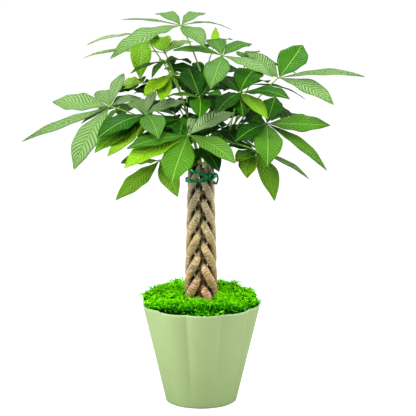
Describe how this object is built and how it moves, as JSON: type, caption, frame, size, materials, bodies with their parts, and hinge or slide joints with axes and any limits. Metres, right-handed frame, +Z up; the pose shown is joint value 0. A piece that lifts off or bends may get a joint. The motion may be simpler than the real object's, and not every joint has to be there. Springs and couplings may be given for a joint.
{
  "type": "potted money tree",
  "caption": "Indoor money tree with a braided trunk and palmate leaves, in a fluted pot topped with moss.",
  "frame": {"origin": "middle of the pot's underside, on the surface it stands on", "axes": "+Z up, the front of the plant toward -Y, +X to the right seen from the front"},
  "size_m": [0.4267, 0.36, 0.4991],
  "materials": {
    "pot": "matte sage green",
    "soil": "dark crumbly potting soil",
    "moss": "bright green curly moss",
    "bark": "smooth tan bark with fine rings",
    "tie": "shiny green foil",
    "leaf": "glossy green leaf with pale veins"
  },
  "bodies": {
    "root": {"pot": "pot", "soil": "soil", "moss": "moss", "strand_1": "bark", "strand_2": "bark", "strand_3": "bark", "strand_4": "bark", "strand_5": "bark", "strand_6": "bark", "strand_7": "bark", "tie": "tie", "crown_left_low": "leaf", "crown_left": "leaf", "crown_middle": "leaf", "crown_right_low": "leaf", "crown_right": "leaf"}
  },
  "joints": []
}
